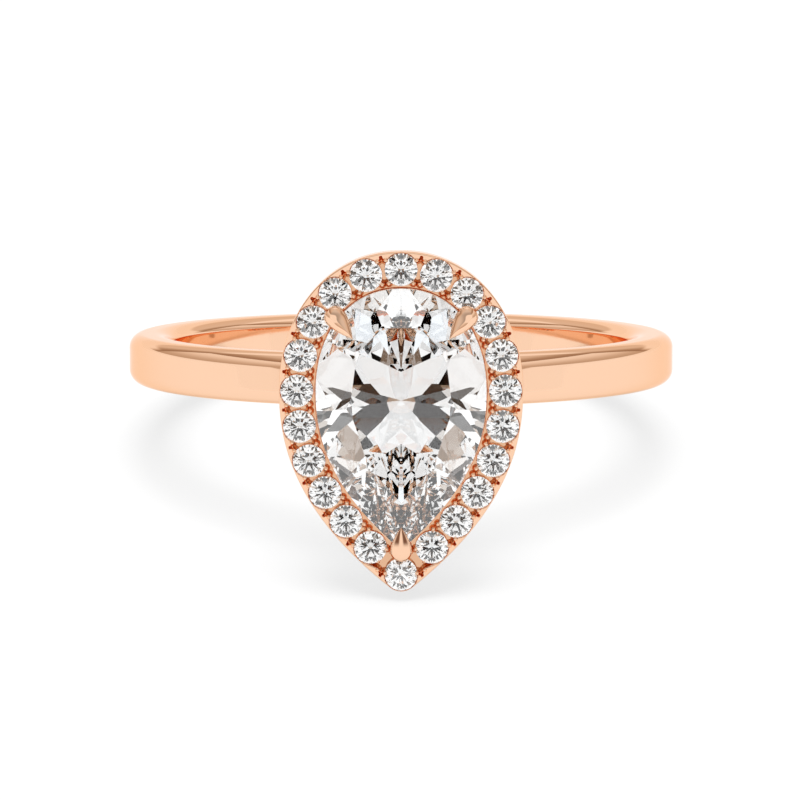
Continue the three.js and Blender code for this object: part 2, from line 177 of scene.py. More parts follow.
def half_offset(dist, n):
    """right half of the path moved by dist, n points evenly along it, from the top to the tip"""
    L = np.linspace(0, TOTAL, 1600)
    p, d = point_dir(L)
    q = p + outward(d) * dist
    q[0, 0] = 0
    if dist > 0:
        nn = outward(d[-1])
        a0 = math.atan2(nn[1], nn[0])
        a = np.linspace(a0, -math.pi / 2, 40)[1:]
        q = np.concatenate([q, p[-1] + dist * np.stack([np.cos(a), np.sin(a)], 1)])
        q[-1, 0] = 0
    else:
        k = np.argmax((q[:, 0] <= 0) & (np.arange(len(q)) > 10))
        if k > 0:
            a, b = q[k - 1], q[k]
            t = a[0] / (a[0] - b[0])
            q = np.concatenate([q[:k], [[0, a[1] + (b[1] - a[1]) * t]]])
    s = np.concatenate([[0], np.cumsum(np.linalg.norm(np.diff(q, axis=0), axis=1))])
    t = np.linspace(0, s[-1], n)
    return np.stack([np.interp(t, s, q[:, 0]), np.interp(t, s, q[:, 1])], 1)


def loop_offset(dist, n):
    """closed outline with 2n-2 points, clockwise from the top"""
    h = half_offset(dist, n)
    left = h[1:-1][::-1] * [-1, 1]
    return np.concatenate([h, left])


# stone places, in the CAD's order
PL, DL = point_dir(PITCH * np.arange(11))
NL = outward(DL)
NL[0] = (0, 1)
PLACES = [tuple(p) for p in PL] + [(0, LAST_V)] + [(-PL[i][0], PL[i][1]) for i in range(10, 0, -1)]
NORMS = [tuple(n) for n in NL] + [(0, -1)] + [(-NL[i][0], NL[i][1]) for i in range(10, 0, -1)]
PLACES, NORMS = np.array(PLACES), np.array(NORMS)

# ------------------------------------------------------------------ materials
def node_material(name):
    m = bpy.data.materials.new(name)
    m.use_nodes = True
    nt = m.node_tree
    nt.nodes.clear()
    out = nt.nodes.new("ShaderNodeOutputMaterial")
    return m, nt, out


def gold_material(name, scale=1.0, rough=0.055, tone=(0.945, 0.618, 0.425), painted_shade_colour=None):
    m, nt, out = node_material(name)
    N, L = nt.nodes, nt.links
    bsdf = N.new("ShaderNodeBsdfPrincipled")
    L.new(bsdf.outputs[0], out.inputs[0])
    bsdf.inputs["Metallic"].default_value = 1.0
    bsdf.inputs["Specular Tint"].default_value = (0.97, 0.775, 0.625, 1)
    tc = N.new("ShaderNodeTexCoord")
    # faint cloudiness of the alloy's colour
    cloud = N.new("ShaderNodeTexNoise")
    cloud.inputs["Scale"].default_value = 420.0 * scale
    cloud.inputs["Detail"].default_value = 3.0
    L.new(tc.outputs["Object"], cloud.inputs["Vector"])
    ramp = N.new("ShaderNodeMix")
    ramp.data_type = "RGBA"
    ramp.inputs[6].default_value = (tone[0] * 0.985, tone[1] * 0.975, tone[2] * 0.965, 1)
    ramp.inputs[7].default_value = (tone[0], tone[1] * 1.015, tone[2] * 1.03, 1)
    L.new(cloud.outputs["Fac"], ramp.inputs[0])
    if painted_shade_colour:
        # painted shade: where the mesh's mask attribute is set (the halo's cut grooves, the lower claw's flanks), the
        # base colour is mixed toward a darker, browner colour
        at = N.new("ShaderNodeAttribute")
        at.attribute_name = "painted_shade"
        shade_mix = N.new("ShaderNodeMix")
        shade_mix.data_type = "RGBA"
        shade_mix.inputs[7].default_value = (*painted_shade_colour, 1)
        L.new(at.outputs["Fac"], shade_mix.inputs[0])
        L.new(ramp.outputs[2], shade_mix.inputs[6])
        L.new(shade_mix.outputs[2], bsdf.inputs["Base Color"])
    else:
        L.new(ramp.outputs[2], bsdf.inputs["Base Color"])
    # polish: very fine, slightly uneven
    fine = N.new("ShaderNodeTexNoise")
    fine.inputs["Scale"].default_value = 2600.0 * scale
    fine.inputs["Detail"].default_value = 4.0
    L.new(tc.outputs["Object"], fine.inputs["Vector"])
    mr = N.new("ShaderNodeMapRange")
    mr.inputs["From Min"].default_value = 0.3
    mr.inputs["From Max"].default_value = 0.7
    mr.inputs["To Min"].default_value = rough * 0.75
    mr.inputs["To Max"].default_value = rough * 1.35
    L.new(fine.outputs["Fac"], mr.inputs["Value"])
    L.new(mr.outputs["Result"], bsdf.inputs["Roughness"])
    bump = N.new("ShaderNodeBump")
    bump.inputs["Strength"].default_value = 0.02
    bump.inputs["Distance"].default_value = 0.00001
    L.new(fine.outputs["Fac"], bump.inputs["Height"])
    L.new(bump.outputs["Normal"], bsdf.inputs["Normal"])
    return m


def diamond_material(name, ior=2.42, tint=(1.0, 1.0, 1.0)):
    m, nt, out = node_material(name)
    N, L = nt.nodes, nt.links
    bsdf = N.new("ShaderNodeBsdfPrincipled")
    L.new(bsdf.outputs[0], out.inputs[0])
    bsdf.inputs["Transmission Weight"].default_value = 1.0
    bsdf.inputs["IOR"].default_value = ior
    bsdf.inputs["Roughness"].default_value = 0.0
    tc = N.new("ShaderNodeTexCoord")
    noise = N.new("ShaderNodeTexNoise")
    noise.inputs["Scale"].default_value = 900.0
    L.new(tc.outputs["Object"], noise.inputs["Vector"])
    mix = N.new("ShaderNodeMix")
    mix.data_type = "RGBA"
    mix.inputs[6].default_value = (tint[0] * 0.995, tint[1] * 0.995, tint[2] * 0.99, 1)
    mix.inputs[7].default_value = (*tint, 1)
    L.new(noise.outputs["Fac"], mix.inputs[0])
    L.new(mix.outputs[2], bsdf.inputs["Base Color"])
    return m


GOLD = gold_material("rose_gold_band", rough=0.04)
# painted shade: the halo's grooves and recesses take this darker, browner colour
GOLD_HALO = gold_material("rose_gold_halo", rough=0.07, painted_shade_colour=(0.76, 0.455, 0.285))
# painted reflection: the lower claw's flanks take this near-black colour in place of dark reflections
GOLD_CLAW = gold_material("rose_gold_claw", rough=0.05, painted_shade_colour=(0.19, 0.08, 0.042))
DIAMOND = diamond_material("diamond_centre")
DIAMOND_SMALL = diamond_material("diamond_halo")

# ------------------------------------------------------------------ band
def band_profile():
    pts = []
    n = 28
    for i in range(6):
        pts.append((BAND_R, FACE_HALF * i / 6))
    for i in range(n + 1):
        a = math.pi / 2 * i / n
        pts.append((BAND_R - EDGE_R + EDGE_R * math.cos(a), FACE_HALF + EDGE_R * math.sin(a)))
    for i in range(1, 4):
        pts.append((BAND_R - EDGE_R - (BAND_R - EDGE_R - SIDE_R) * i / 4, HALF_W))
    for i in range(n + 1):
        a = math.pi / 2 * i / n
        pts.append((SIDE_R - (SIDE_R - BORE_R) * math.sin(a), BORE_HALF + (HALF_W - BORE_HALF) * math.cos(a)))
    for i in range(1, 6):
        pts.append((BORE_R, BORE_HALF * (1 - i / 6)))
    top = np.array(pts)
    low = top[1:][::-1] * [1, -1]
    return np.concatenate([top, [[BORE_R, 0.0]], low])


def make_band():
    prof = band_profile()
    nu = 640
    th = np.linspace(0, 2 * math.pi, nu, endpoint=False)
    P = np.empty((nu, len(prof), 3))
    P[..., 0] = prof[None, :, 0] * np.cos(th)[:, None]
    P[..., 1] = prof[None, :, 0] * np.sin(th)[:, None]
    P[..., 2] = prof[None, :, 1]
    return add_grid("band", ring_to_world(P), GOLD, smooth=None, flip=False)


# ------------------------------------------------------------------ round brilliant
def round_brilliant(r=RR, g=RG, table=RTABLE, crown=34.0, pav=40.8):
    beta, alpha = math.radians(crown), math.radians(pav)
    rt = r * table
    c225 = math.cos(math.radians(22.5))
    hc = (r - rt) * math.tan(beta)
    az = lambda d, rho, z: (rho * math.cos(math.radians(d)), rho * math.sin(math.radians(d)), z)
    V = [az(45 * k, rt, g + hc) for k in range(8)]
    rho = rt * c225 + 0.52 * (r - rt * c225)
    S = [az(45 * k + 22.5, rho, g + (r - rho * c225) * math.tan(beta)) for k in range(8)]
    GT = [az(22.5 * k, r, g) for k in range(16)]
    GB = [az(22.5 * k, r, 0) for k in range(16)]
    rn = 0.22 * r
    NN = [az(45 * k + 22.5, rn, -(r - rn * c225) * math.tan(alpha)) for k in range(8)]
    C = [(0, 0, -r * math.tan(alpha))]
    verts = V + S + GT + GB + NN + C
    oS, oT, oB, oN, oC = 8, 16, 32, 48, 56
    F = [list(range(8))]
    for k in range(8):
        k1 = (k + 1) % 8
        F.append([k1, k, oS + k])
        F.append([k, oS + (k - 1) % 8, oT + 2 * k, oS + k])
        m = (2 * k + 1) % 16
        F.append([oS + k, oT + 2 * k, oT + m])
        F.append([oS + k, oT + m, oT + (2 * k + 2) % 16])
        F.append([oN + k, oB + m, oB + 2 * k])
        F.append([oN + k, oB + (2 * k + 2) % 16, oB + m])
        F.append([oC, oN + (k - 1) % 8, oB + 2 * k, oN + k][::-1])
    for k in range(16):
        k1 = (k + 1) % 16
        F.append([oT + k, oB + k, oB + k1, oT + k1])
    return np.array(verts), F


def fix_normals(ob):
    import bmesh
    bm = bmesh.new()
    bm.from_mesh(ob.data)
    bmesh.ops.recalc_face_normals(bm, faces=bm.faces)
    bm.to_mesh(ob.data)
    bm.free()


def make_round_stones():
    verts, faces = round_brilliant()
    for i, (p, n) in enumerate(zip(PLACES, NORMS)):
        rot = math.atan2(n[1], n[0]) + math.radians([0, 11, 22.5, 7, 16][i % 5])
        c, s = math.cos(rot), math.sin(rot)
        v = np.empty_like(verts)
        v[:, 0] = verts[:, 0] * c - verts[:, 1] * s + p[0]
        v[:, 1] = verts[:, 0] * s + verts[:, 1] * c + p[1]
        v[:, 2] = verts[:, 2] + FACE + GGAP
        name = f"halo_stone_{i + 1:02d}"
        ob = add_mesh(f"brilliant_{i + 1:02d}", head_to_world(v), faces, DIAMOND_SMALL)
        fix_normals(ob)
        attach(ob, "root")
        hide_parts(name)


# ------------------------------------------------------------------ pear brilliant
def cut_convex(polys, n, d):
    """keeps the side n.p <= d of a convex body given as polygons, and closes it with the new facet"""
    out, pts = [], []
    for p in polys:
        s = p @ n - d
        if (s <= 1e-9).all():
            out.append(p)
            continue
        if (s >= -1e-9).all():
            continue
        q = []
        for i in range(len(p)):
            j = (i + 1) % len(p)
            if s[i] <= 1e-9:
                q.append(p[i])
            if (s[i] < -1e-9 and s[j] > 1e-9) or (s[i] > 1e-9 and s[j] < -1e-9):
                x = p[i] + (p[j] - p[i]) * (s[i] / (s[i] - s[j]))
                q.append(x)
                pts.append(x)
            elif abs(s[i]) <= 1e-9:
                pts.append(p[i])
        if len(q) > 2:
            out.append(np.array(q))
    if len(pts) < 3:
        return out
    pts = np.array(pts)
    keep = []
    for p in pts:
        if not any(np.linalg.norm(p - k) < 1e-6 for k in keep):
            keep.append(p)
    pts = np.array(keep)
    if len(pts) < 3:
        return out
    c = pts.mean(0)
    ex = pts[0] - c
    ex /= np.linalg.norm(ex)
    ey = np.cross(n, ex)
    ang = np.arctan2((pts - c) @ ey, (pts - c) @ ex)
    out.append(pts[np.argsort(ang)])
    return out


CROWN_A, PAV_A, HALF_UP, HALF_DN, STAR_A = 34.5, 40.6, 40.0, 42.2, 21.0


def pear_brilliant():
    w0 = FACE + GGAP
    w1 = w0 + PG
    wt = w1 + PCROWN
    loop = loop_offset(-PIN, 49)
    n = len(loop)
    lo, hi = w0 - 2.6, w1 + 1.4
    bot = np.concatenate([loop, np.full((n, 1), lo)], 1)
    top = np.concatenate([loop, np.full((n, 1), hi)], 1)
    polys = [top.copy(), bot[::-1].copy()]
    for i in range(n):
        j = (i + 1) % n
        polys.append(np.array([top[i], bot[i], bot[j], top[j]]))
    fine = half_offset(-PIN, 2001)

    def station(f, side):
        i = min(int(round(f * 2000)), 1997)
        d = fine[min(i + 3, 2000)] - fine[max(i - 3, 0)]
        if i == 0:
            d = np.array([1.0, 0.0])
        d = d / np.linalg.norm(d)
        p, m = fine[i].copy(), np.array([-d[1], d[0]])
        if side < 0:
            p[0], m[0] = -p[0], -m[0]
        return p, m

    def plane(p, m, w, angle, up):
        a = math.radians(angle)
        nn = np.array([m[0] * math.sin(a), m[1] * math.sin(a), math.cos(a) * (1 if up else -1)])
        return nn, nn @ np.array([p[0], p[1], w])

    mains = [0.0, 0.185, 0.385, 0.61, 0.86]
    planes = [(np.array([0, 0, 1.0]), wt)]
    for side in (1, -1):
        for k, f in enumerate(mains):
            if k == 0 and side < 0:
                continue
            p, m = station(f, side)
            planes.append(plane(p, m, w1, CROWN_A, True))
            planes.append(plane(p, m, w0, PAV_A, False))
        for k in range(len(mains)):
            f0 = mains[k]
            f1 = mains[k + 1] if k + 1 < len(mains) else 1.06
            g = f1 - f0
            for f in (f0 + 0.28 * g, f0 + 0.72 * g):
                if f > 0.995:
                    continue
                p, m = station(f, side)
                planes.append(plane(p, m, w1 - 0.012, HALF_UP, True))
                planes.append(plane(p, m, w0 + 0.012, HALF_DN, False))
            fm = min((f0 + f1) / 2, 0.985)
            p, m = station(fm, side)
            run = PCROWN / math.tan(math.radians(CROWN_A))
            q = p - m * (run * 0.965)
            planes.append(plane(q, m, wt, STAR_A, True))
    # facets across the point
    tip = fine[-1]
    planes.append(plane(tip + [0, 0.03], np.array([0.0, -1.0]), w1, CROWN_A + 2, True))
    planes.append(plane(tip + [0, 0.03], np.array([0.0, -1.0]), w0, 31.0, False))
    for nn, d in planes:
        polys = cut_convex(polys, nn, d)
    verts, faces, index = [], [], {}
    for p in polys:
        f = []
        for v in p:
            key = tuple(np.round(v, 5))
            if key not in index:
                index[key] = len(verts)
                verts.append(v)
            if index[key] not in f:
                f.append(index[key])
        if len(f) > 2:
            faces.append(f)
    return np.array(verts), faces


def make_centre_stone():
    v, f = pear_brilliant()
    ob = add_mesh("pear_brilliant", head_to_world(v), f, DIAMOND)
    fix_normals(ob)
    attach(ob, "root")
    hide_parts("centre_stone")
    return ob


# ------------------------------------------------------------------ halo plate: a fine relief between two outlines
GA = PLACES
GB_ = np.roll(PLACES, -1, axis=0)
GM = (GA + GB_) / 2
GN = NORMS + np.roll(NORMS, -1, axis=0)
GN /= np.linalg.norm(GN, axis=1, keepdims=True)
GT_ = np.stack([GN[:, 1], -GN[:, 0]], 1)


def smoothstep(e0, e1, x):
    t = np.clip((x - e0) / (e1 - e0), 0, 1)
    return t * t * (3 - 2 * t)


def halo_relief(P, edge_out, edge_in):
    """height over the stones' girdle plane for plan points P (n, 2); edge_*: distance to the walls"""
    d = np.linalg.norm(P[:, None, :] - PLACES[None], axis=2)
    rho = d.min(1)
    gm = np.linalg.norm(P[:, None, :] - GM[None], axis=2)
    gi = gm.argmin(1)
    rel = P - GM[gi]
    a = np.abs((rel * GT_[gi]).sum(1))
    b = (rel * GN[gi]).sum(1)
    # metal between the stones
    h = np.full(len(P), -0.30)
    # outer islands: flat tops, split by a notch
    w = 0.05 + 0.12 * smoothstep(0.14, 0.32, edge_out)
    isl = 0.06 - 0.24 * np.clip((w - a) / 0.04, 0, 1) * smoothstep(0.07, 0.14, edge_out)
    isl = isl - 0.30 * smoothstep(0.36, 0.20, b)
    h = np.where(b > 0, np.maximum(h, isl), h)
    # inner side: recess with a thin lip
    inner = np.full(len(P), -0.16) - 0.25 * smoothstep(-0.34, -0.20, b)
    h = np.where(b <= 0, np.maximum(h, inner), h)
    lip = 0.035 - 0.6 * np.clip(edge_in - 0.062, 0, None) / 0.03
    h = np.where(b <= 0.2, np.maximum(h, np.minimum(lip, 0.035)), h)
    # beads that hold the stones
    for (ba, bb, br, top) in ((0.112, -0.385, 0.096, 0.13), (0.140, 0.385, 0.090, 0.13), (0.0, 0.41, 0.050, 0.05)):
        q = np.sqrt((a - ba) ** 2 + (b - bb) ** 2) / br
        dome = top - 0.11 * np.clip(q, 0, 1) ** 2.2 - 1.4 * np.clip(q - 1, 0, None) * br * 4
        h = np.where(q < 1.6, np.maximum(h, dome), h)
    # seats: steep sides to just under the girdle, then a cone under the pavilion
    seat = -0.05 - (RR - rho) * 1.0
    seat = np.maximum(seat, -0.62)
    wall = (rho - RR) * 3.2 - 0.02
    bead_zone = np.zeros(len(P), bool)
    for (ba, bb, br) in ((0.112, -0.385, 0.096), (0.140, 0.385, 0.090)):
        bead_zone |= (a - ba) ** 2 + (b - bb) ** 2 < (br * 0.95) ** 2
    h = np.where(rho < RR, np.where(bead_zone, h, seat), np.where(bead_zone, h, np.minimum(h, wall)))
    # bevels on the two walls' top edges
    h = np.minimum(h, -0.01 + edge_out * 2.0)
    h = np.minimum(h, 0.0 + edge_in * 1.6)
    return h


def make_halo():
    n = 820
    inner = loop_offset(-INN, n)
    outer = loop_offset(OUT, n)
    nu = len(inner)
    M = 78
    t = np.linspace(0, 1, M + 1)
    plan = inner[:, None, :] * (1 - t)[None, :, None] + outer[:, None, :] * t[None, :, None]
    width = np.linalg.norm(outer - inner, axis=1)
    edge_in = t[None, :] * width[:, None]
    edge_out = (1 - t)[None, :] * width[:, None]
    h = halo_relief(plan.reshape(-1, 2), edge_out.ravel(), edge_in.ravel()).reshape(nu, M + 1)
    top_w = FACE + GGAP
    cols = []
    top = np.concatenate([plan, (top_w + h)[..., None]], 2)
    cols.append(top)
    # outer wall: straight, rolled a little at the foot
    foot = FACE - THICK
    mid = (inner + outer) / 2
    dirn = (outer - mid) / np.linalg.norm(outer - mid, axis=1, keepdims=True)
    for s, w in ((0.0, 12.55), (0.0, 12.2), (0.0, 11.9), (0.0, foot + 0.10), (0.012, foot + 0.05), (0.035, foot + 0.015), (0.07, foot)):
        p = outer - dirn * s
        cols.append(np.concatenate([p, np.full((nu, 1), w)], 1)[:, None, :])
    # underside with an opening behind every stone
    Mb = 36
    tb = np.linspace(1, 0, Mb + 1)[1:-1]
    a0 = outer - dirn * 0.07
    a1 = inner + dirn * 0.05
    pb = a1[:, None, :] * (1 - tb)[None, :, None] + a0[:, None, :] * tb[None, :, None]
    d = np.linalg.norm(pb.reshape(-1, 2)[:, None, :] - PLACES[None], axis=2).min(1).reshape(nu, -1)
    hb = foot + 0.40 * smoothstep(0.36, 0.20, d)
    cols.append(np.concatenate([pb, hb[..., None]], 2))
    for s, w in ((0.05, foot), (0.015, foot + 0.02), (0.0, foot + 0.06), (0.0, 11.9), (0.0, 12.3), (0.0, 12.6)):
        p = inner + dirn * s
        cols.append(np.concatenate([p, np.full((nu, 1), w)], 1)[:, None, :])
    P = np.concatenate(cols, 1)
    ob = add_grid("halo", head_to_world(P), GOLD_HALO, smooth=38, flip=False)
    # painted shade: the mask is set in the relief's deeper recesses, away from the walls' edges, and darkens the base
    # colour there
    g = np.zeros(P.shape[:2])
    g[:, :M + 1] = smoothstep(0.02, -0.11, h) * smoothstep(0.05, 0.10, np.minimum(edge_in, edge_out))
    att = ob.data.attributes.new("painted_shade", "FLOAT", "POINT")
    att.data.foreach_set("value", g.ravel().astype(np.float32))
    return ob


# ------------------------------------------------------------------ claws
def catmull(ctrl, n):
    P = np.array(ctrl, float)
    P = np.concatenate([[2 * P[0] - P[1]], P, [2 * P[-1] - P[-2]]])
    out = []
    for i in range(1, len(P) - 2):
        for k in range(n):
            t = k / n
            p0, p1, p2, p3 = P[i - 1], P[i], P[i + 1], P[i + 2]
            out.append(0.5 * ((2 * p1) + (-p0 + p2) * t + (2 * p0 - 5 * p1 + 4 * p2 - p3) * t * t + (-p0 + 3 * p1 - 3 * p2 + p3) * t ** 3))
    out.append(P[-2])
    return np.array(out)


def sweep_tube(path, radii, sides=28):
    """rings of a tube along path; returns (n, sides, 3)"""
    n = len(path)
    tang = np.gradient(path, axis=0)
    tang /= np.linalg.norm(tang, axis=1, keepdims=True)
    ref = np.array([1.0, 0.0, 0.0])
    rings = []
    for i in range(n):
        t = tang[i]
        x = ref - t * (ref @ t)
        x /= np.linalg.norm(x)
        y = np.cross(t, x)
        ref = x
        a = np.linspace(0, 2 * math.pi, sides, endpoint=False)
        rings.append(path[i] + radii[i] * (np.cos(a)[:, None] * x + np.sin(a)[:, None] * y))
    return np.array(rings)


def make_claw(name, top, length):
    top = np.array(top, float)
    inw = np.array([-top[0], -top[1] - 0.1])
    inw /= np.linalg.norm(inw)
    side = np.array([-inw[1], inw[0]])
    wg = FACE + GGAP + PG
    # leg
    k = BASE_S * 1.02
    foot = (top[0] * k, CY + (top[1] - CY) * k, BASE_HI + 0.02)
    mid = (top[0] * 0.74, CY + (top[1] - CY) * 0.74, 11.35)
    high = (top[0], top[1], wg - 0.45)
    end = (top[0], top[1], wg + 0.12)
    path = catmull([foot, mid, high, end], 16)
    radii = np.full(len(path), WIRE_R)
    rings = sweep_tube(path, radii)
    # close both ends with a centre point ring
    r0 = np.repeat(path[0][None], rings.shape[1], 0)
    r1 = np.repeat(path[-1][None], rings.shape[1], 0)
    leg = np.concatenate([[r0], rings, [r1]])
    leg_ob = add_grid(name + "_leg", head_to_world(leg), GOLD_CLAW, close_u=False, smooth=40)
    # pad: a teardrop, domed at the back, with a ridge that runs to the point
    nx, ny = 96, 57
    R = PAD_R * 1.08
    back = np.linspace(0, math.pi / 2, 34)
    xs = np.concatenate([-R * np.cos(back), length * np.linspace(0, 1, nx - 33)[1:]])
    t = np.clip(xs / length, 0, 1)
    b = np.where(xs < 0, np.sqrt(np.clip(R ** 2 - xs ** 2, 0, None)), R * (1 - t ** 1.75) * (1 - 0.12 * t))
    yy = np.linspace(-1, 1, ny)
    X = np.repeat(xs[:, None], ny, 1)
    Y = b[:, None] * np.sin(yy * math.pi / 2)[None, :]
    yn = np.abs(np.sin(yy * math.pi / 2))[None, :]
    crest = np.where(xs < 0, 0.27 * (1 - np.clip(-xs / R, 0, 1) ** 2.6) ** 0.5, 0.27 * (1 - t ** 2) ** 0.9)
    edge = np.where(xs < 0, np.sqrt(np.clip(1 - (xs / R) ** 2, 0, 1)), 1.0)
    dome = np.clip(1 - yn ** 2.2, 0, 1) ** 0.52
    roof = np.clip(1 - yn ** 1.25, 0, 1) ** 0.80
    f = smoothstep(-0.05, 0.95, t)[:, None]
    Z = crest[:, None] * (dome * (1 - f) + roof * f)
    rise = ((xs - 0.10 + np.sqrt((xs - 0.10) ** 2 + 0.16 ** 2)) / 2 * math.tan(math.radians(CROWN_A)))[:, None]
    z0 = wg + 0.02
    topz = z0 + Z + rise
    botz = z0 - 0.06 * (1 - yn ** 2) * edge[:, None] + rise
    U = top[0] + X * inw[0] + Y * side[0]
    Vv = top[1] + X * inw[1] + Y * side[1]
    upper = np.stack([U, Vv, topz], 2)
    lower = np.stack([U, Vv, botz], 2)[:, ::-1][:, 1:-1]
    pad = np.concatenate([upper, lower], 1)
    pad_ob = add_grid(name + "_pad", head_to_world(pad), GOLD_CLAW, close_u=False, close_v=True, smooth=30)
    if top[1] < CY:
        # painted reflection: the flanks of the lower claw beside the ridge are painted darker, in place of the dark
        # reflections a polished claw shows there
        g = np.zeros(pad.shape[:2])
        g[:, :ny] = smoothstep(0.16, 0.42, t)[:, None] * smoothstep(0.12, 0.34, yn) * (1 - smoothstep(0.62, 0.90, yn))
        att = pad_ob.data.attributes.new("painted_shade", "FLOAT", "POINT")
        att.data.foreach_set("value", g.ravel().astype(np.float32))
    return leg_ob, pad_ob


# ------------------------------------------------------------------ rail, collar, struts
def grown(pts, dist):
    a = np.roll(pts, 1, axis=0)
    b = np.roll(pts, -1, axis=0)
    d = b - a
    d /= np.linalg.norm(d, axis=1, keepdims=True)
    n = np.stack([-d[:, 1], d[:, 0]], 1)             # outward for a clockwise loop
    return pts + n * dist


def pear_wire(name, scale, half, lo, hi, radius, band_cut=False):
    base = loop_offset(-PIN, 181)
    mid = base * scale
    mid[:, 1] = CY + (base[:, 1] - CY) * scale
    # soften the tip so that the wire stays even
    for _ in range(6):
        mid = (np.roll(mid, 1, 0) + 2 * mid + np.roll(mid, -1, 0)) / 4
    prof = []
    r = radius
    corners = ((half - r, hi - r, 0), (-half + r, hi - r, 90), (-half + r, lo + r, 180), (half - r, lo + r, 270))
    for cx, cw, a0 in corners:
        for i in range(7):
            a = math.radians(a0 + 90 * i / 6)
            prof.append((cx + r * math.cos(a), cw + r * math.sin(a)))
    cols = []
    for s, w in prof:
        g = grown(mid, s)
        ww = np.full(len(g), w)
        if band_cut:
            # the collar's foot follows the band's outer face
            inside = np.abs(g[:, 1]) < HALF_W + 0.03
            zz = np.clip(np.abs(g[:, 1]) - FACE_HALF, 0, EDGE_R)
            face = BAND_R - EDGE_R + np.sqrt(np.clip(EDGE_R ** 2 - zz ** 2, 0, None))
            surf = np.sqrt(np.clip((face + 0.02) ** 2 - g[:, 0] ** 2, 0, None))
            ww = np.where(inside, np.maximum(ww, surf), ww)
        cols.append(np.concatenate([g, ww[:, None]], 1)[:, None, :])
    P = np.concatenate(cols, 1)
    return add_grid(name, head_to_world(P), GOLD_HALO, smooth=40, flip=True)


def make_strut(name, k):
    p, d = point_dir(PITCH * abs(k))
    n = outward(d)[0]
    p = p[0]
    sx = -1 if k < 0 else 1
    outer_end = np.array([sx * (p[0] - n[0] * 0.25), p[1] - n[1] * 0.25, FACE - THICK + 0.06])
    g2 = p - n * PIN
    inner_end = np.array([sx * g2[0] * RAIL_S, CY + (g2[1] - CY) * RAIL_S, (RAIL_LO + RAIL_HI) / 2])
    path = inner_end[None] + (outer_end - inner_end)[None] * np.linspace(0, 1, 12)[:, None]
    rings = sweep_tube(path, np.full(12, 0.2), 24)
    leg = np.concatenate([[np.repeat(path[0][None], 24, 0)], rings, [np.repeat(path[-1][None], 24, 0)]])
    return add_grid(name + "_bar", head_to_world(leg), GOLD_HALO, close_u=False, smooth=40)


# ------------------------------------------------------------------ build
def piece(ob, slot, *nodes):
    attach(ob, "root")
    if nodes:
        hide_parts(*nodes)
    return ob


def clear_behind(ob):
    """keeps the basket's metal out of what is seen through the stones, which stay colourless"""
    ob.visible_transmission = False
    return ob


def repair(ob):
    fix_normals(ob)
    return ob


def weld(ob):
    """joins the repeated points that close a sheet's two ends"""
    import bmesh
    bm = bmesh.new()
    bm.from_mesh(ob.data)
    bmesh.ops.remove_doubles(bm, verts=bm.verts, dist=2e-8)
    bm.to_mesh(ob.data)
    bm.free()
    ob.data.update()
    return ob


piece(repair(make_band()), "rose_gold", "shank")
make_round_stones()
make_centre_stone()
clear_behind(piece(repair(make_halo()), "rose_gold", "halo_plate"))

up_p, up_d = point_dir(PITCH * 2.5)
up_n = outward(up_d)[0]
ur = up_p[0] - up_n * 0.52
for nm, tp, ln in (("claw_upper_right", ur, 0.90), ("claw_upper_left", ur * [-1, 1], 0.90), ("claw_tip", (0, -5.36), 0.86)):
    leg, pad = make_claw(nm, tp, ln)
    piece(repair(weld(leg)), "rose_gold", nm)
    piece(repair(weld(pad)), "rose_gold", nm)

clear_behind(piece(repair(pear_wire("gallery", RAIL_S, RAIL_H, RAIL_LO, RAIL_HI, 0.13)), "rose_gold", "gallery_rail"))
clear_behind(piece(repair(pear_wire("collar", BASE_S, BASE_H, BASE_LO, BASE_HI, 0.10, band_cut=True)), "rose_gold", "base_collar"))
for nm, k in (("strut_top", 0), ("strut_right", 4.6), ("strut_left", -4.6), ("strut_lower_right", 8.2), ("strut_lower_left", -8.2)):
    clear_behind(piece(repair(weld(make_strut(nm, k))), "rose_gold", nm))

# ------------------------------------------------------------------ floor, light, camera
def plain(name, colour, rough=0.6):
    m, nt, out = node_material(name)
    b = nt.nodes.new("ShaderNodeBsdfPrincipled")
    b.inputs["Base Color"].default_value = (*colour, 1)
    b.inputs["Roughness"].default_value = rough
    b.inputs["Specular IOR Level"].default_value = 0.0
    nt.links.new(b.outputs[0], out.inputs[0])
    return m


floor_mat, fnt, fout = node_material("floor_white")
fd = fnt.nodes.new("ShaderNodeBsdfDiffuse")
fd.inputs["Color"].default_value = (0.95, 0.95, 0.95, 1)
fe = fnt.nodes.new("ShaderNodeEmission")
fe.inputs["Color"].default_value = (1, 1, 1, 1)
fe.inputs["Strength"].default_value = 0.76
fa = fnt.nodes.new("ShaderNodeAddShader")
fnt.links.new(fd.outputs[0], fa.inputs[0])
fnt.links.new(fe.outputs[0], fa.inputs[1])
fnt.links.new(fa.outputs[0], fout.inputs[0])
s = 1.2
floor = add_mesh("floor", [(-s, -s, -2e-5), (s, -s, -2e-5), (s, s, -2e-5), (-s, s, -2e-5)], [(0, 1, 2, 3)], floor_mat)

scene = bpy.context.scene
world = bpy.data.worlds.new("studio")
scene.world = world
world.use_nodes = True
wt = world.node_tree
wt.nodes.clear()
wo = wt.nodes.new("ShaderNodeOutputWorld")
bg = wt.nodes.new("ShaderNodeBackground")
wt.links.new(bg.outputs[0], wo.inputs[0])
def M(op, a, b=None, c=None, clamp=False):
    n = wt.nodes.new("ShaderNodeMath")
    n.operation = op
    n.use_clamp = clamp
    for i, x in enumerate((a, b, c)):
        if x is None:
            continue
        if isinstance(x, (int, float)):
            n.inputs[i].default_value = x
        else:
            wt.links.new(x, n.inputs[i])
    return n.outputs[0]


